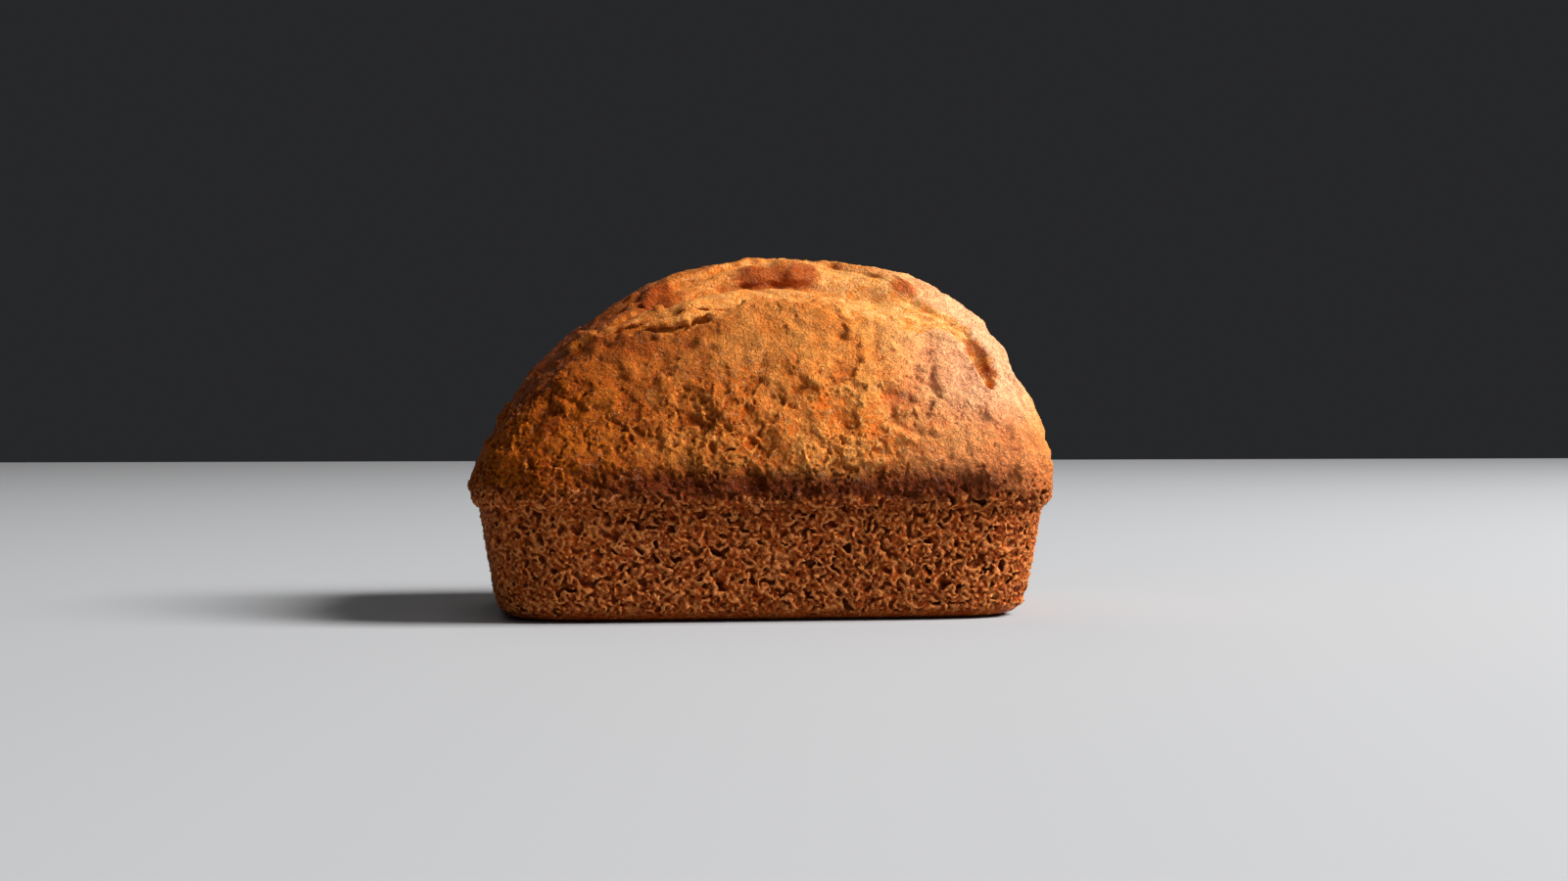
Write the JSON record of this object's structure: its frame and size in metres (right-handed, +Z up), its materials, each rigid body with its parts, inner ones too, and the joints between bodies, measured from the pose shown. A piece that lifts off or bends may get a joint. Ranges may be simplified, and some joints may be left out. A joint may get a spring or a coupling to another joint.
{
  "type": "mini loaf of cornbread",
  "caption": "Small pan-shaped cornbread with tapered walls, an overhanging lip and a high crown split along its top.",
  "frame": {"origin": "middle of the flat bottom, at the level it rests on", "axes": "+X along the loaf towards its steeper end, +Y across it towards its back, +Z up"},
  "size_m": [0.1006, 0.0678, 0.0626],
  "materials": {
    "baked_crumb": "matte"
  },
  "bodies": {
    "root": {"cornbread_loaf": "baked_crumb"}
  },
  "joints": []
}
